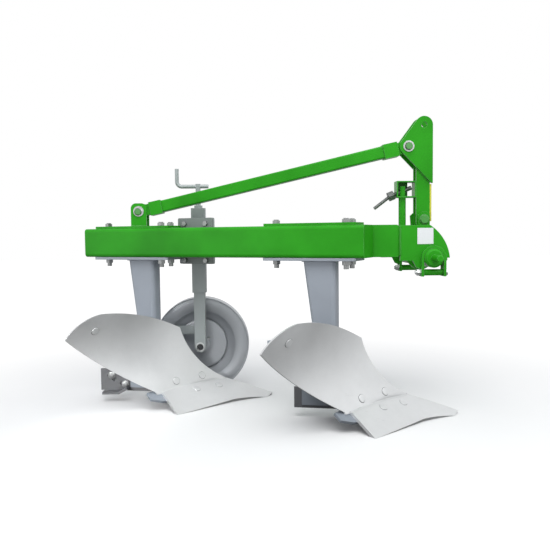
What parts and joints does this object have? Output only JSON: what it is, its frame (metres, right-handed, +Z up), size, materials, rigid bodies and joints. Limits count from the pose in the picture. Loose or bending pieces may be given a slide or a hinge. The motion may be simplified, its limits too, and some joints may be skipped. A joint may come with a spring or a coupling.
{
  "type": "two-furrow mounted plough",
  "caption": "Mounted mouldboard plough: diagonal box beam, legs with curved mouldboards and shares, cross-shaft with lower-link pins, headstock with top strut, cranked depth wheel.",
  "frame": {"origin": "middle of the plough's bounding box in plan, on the ground it is parked on", "axes": "+X is the direction of travel, towards the tractor; +Z is up; -Y is the right-hand side, where the furrow slices are turned to"},
  "size_m": [1.2653, 0.8414, 0.9665],
  "materials": {
    "green_paint": "bright green gloss paint",
    "body_steel": "light silver-grey satin paint on rolled steel",
    "leg_paint": "silver-grey satin paint",
    "frog_paint": "dark grey satin paint",
    "wheel_paint": "mid grey satin paint",
    "zinc": "zinc-plated, lightly brushed"
  },
  "bodies": {
    "frame": {"bracket_pad": "wheel_paint", "clamp_bolts": "zinc", "corner_gussets": "green_paint", "cross_member": "green_paint", "depth_crank": "wheel_paint", "front_clamp_plate": "green_paint", "front_frog": "frog_paint", "front_landside": "frog_paint", "front_leg": "leg_paint", "front_mouldboard": "body_steel", "front_share": "body_steel", "front_stay": "leg_paint", "headstock_base": "green_paint", "headstock_foot_bolt": "zinc", "left_headstock_arm": "green_paint", "left_quadrant_plate": "green_paint", "left_saddle_strap": "green_paint", "left_top_plate": "green_paint", "levelling_screw": "zinc", "levelling_yoke": "green_paint", "main_beam": "green_paint", "rear_clamp_plate": "green_paint", "rear_frog": "frog_paint", "rear_heel": "frog_paint", "rear_landside": "frog_paint", "rear_leg": "leg_paint", "rear_mouldboard": "body_steel", "rear_share": "body_steel", "rear_stay": "leg_paint", "right_headstock_arm": "green_paint", "right_quadrant_plate": "green_paint", "right_saddle_strap": "green_paint", "right_top_plate": "green_paint", "strap_bolts": "zinc", "strap_spacers": "green_paint", "strut_bolts": "zinc", "strut_lugs": "green_paint", "top_strut": "green_paint", "wheel_bracket": "wheel_paint"},
    "depth_post": {"wheel_post": "wheel_paint", "wheel_axle": "zinc", "wheel_scraper": "wheel_paint"},
    "wheel": {"depth_wheel": "wheel_paint"},
    "cross_shaft": {"cross_shaft": "green_paint", "levelling_lever": "green_paint"}
  },
  "joints": [
    {"name": "depth_slide", "type": "slide", "parent": "frame", "child": "depth_post", "axis": [0, 0, 1], "range_m": [-0.05, 0.12]},
    {"name": "wheel_spin", "type": "hinge", "parent": "depth_post", "child": "wheel", "pos_m": [-0.2277, 0.3457, 0.177], "axis": [0, 1, 0], "continuous": true},
    {"name": "cross_shaft_turn", "type": "hinge", "parent": "frame", "child": "cross_shaft", "pos_m": [0.5293, 0.1057, 0.508], "axis": [0, 1, 0], "range_deg": [0, 4.5]}
  ]
}
